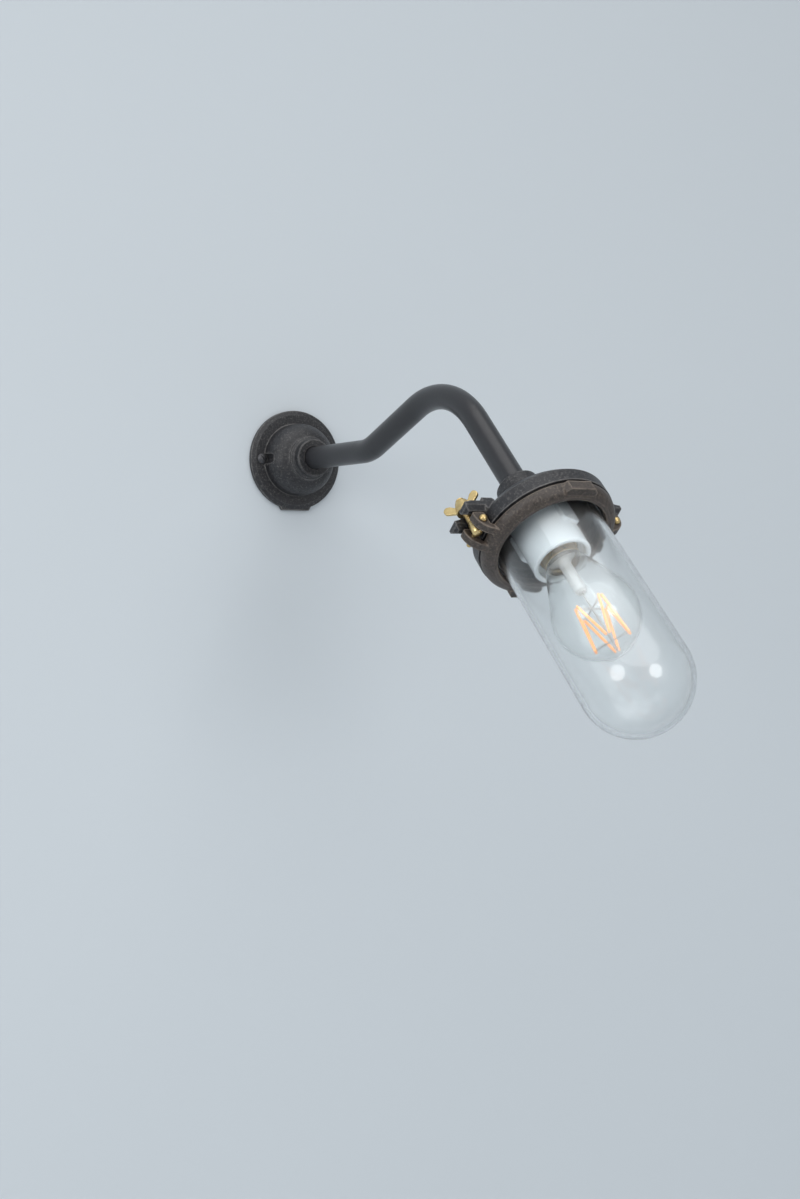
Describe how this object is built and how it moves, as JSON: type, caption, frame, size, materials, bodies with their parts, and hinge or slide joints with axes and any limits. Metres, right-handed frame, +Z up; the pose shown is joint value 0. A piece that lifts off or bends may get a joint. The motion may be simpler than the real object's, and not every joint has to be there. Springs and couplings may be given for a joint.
{
  "type": "gooseneck wall sconce",
  "caption": "Gooseneck wall light with a round wall rose, bent tube arm, cast cap, swing-bolt clamp ring and a clear glass dome over a bulb.",
  "frame": {"origin": "centre of the wall rose's back face, on the wall plane and on the arm's axis", "axes": "+Z up, +Y into the wall, so the lamp reaches out along -Y; +X to the right of someone facing the wall"},
  "size_m": [0.1317, 0.5341, 0.2475],
  "materials": {
    "black_casting": "painted satin, fine cast texture",
    "black_tube": "satin powder coat",
    "bronze_casting": "bronze-brown patina, grainy casting",
    "brass": "worn satin",
    "dark_steel": "blackened",
    "zinc_steel": "zinc plated",
    "black_rubber": "matt",
    "clear_glass": "clear, smooth",
    "bulb_clear": "clear, thin",
    "stem_glass": "clear, pressed",
    "porcelain": "gloss glaze",
    "bulb_cap_metal": "satin",
    "bulb_black_glass": "gloss",
    "filament": "matt phosphor coat",
    "wire": "thin drawn wire"
  },
  "bodies": {
    "fixture": {"wall_rose": "black_casting", "wall_screws": "dark_steel", "rose_locknut": "zinc_steel", "arm_tube": "black_tube", "cap_casting": "black_casting", "cap_locknut": "zinc_steel", "gasket_upper": "black_rubber", "gasket_lower": "black_rubber", "glass_dome": "clear_glass", "clamp_ring": "bronze_casting", "hinge_pin_left": "brass", "hinge_pin_right": "brass", "holder_strap": "zinc_steel", "strap_screws": "zinc_steel", "holder_body": "porcelain", "holder_screws": "zinc_steel", "holder_shell": "brass", "holder_contact": "brass", "holder_terminals": "brass"},
    "bolt_left": {"swing_bolt_left": "brass"},
    "washer_carrier_left": {"washer_left": "brass"},
    "nut_left": {"wing_nut_left": "brass"},
    "bolt_right": {"swing_bolt_right": "brass"},
    "washer_carrier_right": {"washer_right": "brass"},
    "nut_right": {"wing_nut_right": "brass"},
    "bulb_seat": {"bulb_insulator": "bulb_black_glass", "bulb_tip": "zinc_steel"},
    "bulb": {"bulb_cap": "bulb_cap_metal", "bulb_glass": "bulb_clear", "bulb_stem": "stem_glass", "bulb_filaments": "filament", "bulb_wires": "wire"}
  },
  "joints": [
    {"name": "swing_bolt_left_hinge", "type": "hinge", "parent": "fixture", "child": "bolt_left", "pos_m": [-0.0555, -0.3717, -0.07007], "axis": [0, -0.698, 0.7161], "range_deg": [0, 100]},
    {"name": "washer_left_lift", "type": "slide", "parent": "bolt_left", "child": "washer_carrier_left", "axis": [0, 0.7161, 0.698], "range_m": [0, 0.004]},
    {"name": "wing_nut_left_turn", "type": "hinge", "parent": "washer_carrier_left", "child": "nut_left", "pos_m": [-0.0555, -0.35523, -0.05401], "axis": [0, 0.7161, 0.698], "range_deg": [0, 1440]},
    {"name": "swing_bolt_right_hinge", "type": "hinge", "parent": "fixture", "child": "bolt_right", "pos_m": [0.0555, -0.3717, -0.07007], "axis": [0, 0.698, -0.7161], "range_deg": [0, 100]},
    {"name": "washer_right_lift", "type": "slide", "parent": "bolt_right", "child": "washer_carrier_right", "axis": [0, 0.7161, 0.698], "range_m": [0, 0.004]},
    {"name": "wing_nut_right_turn", "type": "hinge", "parent": "washer_carrier_right", "child": "nut_right", "pos_m": [0.0555, -0.35523, -0.05401], "axis": [0, 0.7161, 0.698], "range_deg": [0, 1440]},
    {"name": "bulb_lift", "type": "slide", "parent": "fixture", "child": "bulb_seat", "axis": [0, -0.7161, -0.698], "range_m": [0, 0.01448]},
    {"name": "bulb_turn", "type": "hinge", "parent": "bulb_seat", "child": "bulb", "pos_m": [0, -0.39461, -0.0924], "axis": [0, -0.7161, -0.698], "range_deg": [0, 1440]}
  ],
  "couplings": [
    {"joint": "wing_nut_left_turn", "follows": "washer_left_lift", "rad_per_m": 6283.2},
    {"joint": "wing_nut_right_turn", "follows": "washer_right_lift", "rad_per_m": 6283.2},
    {"joint": "bulb_turn", "follows": "bulb_lift", "rad_per_m": 1735.7}
  ]
}
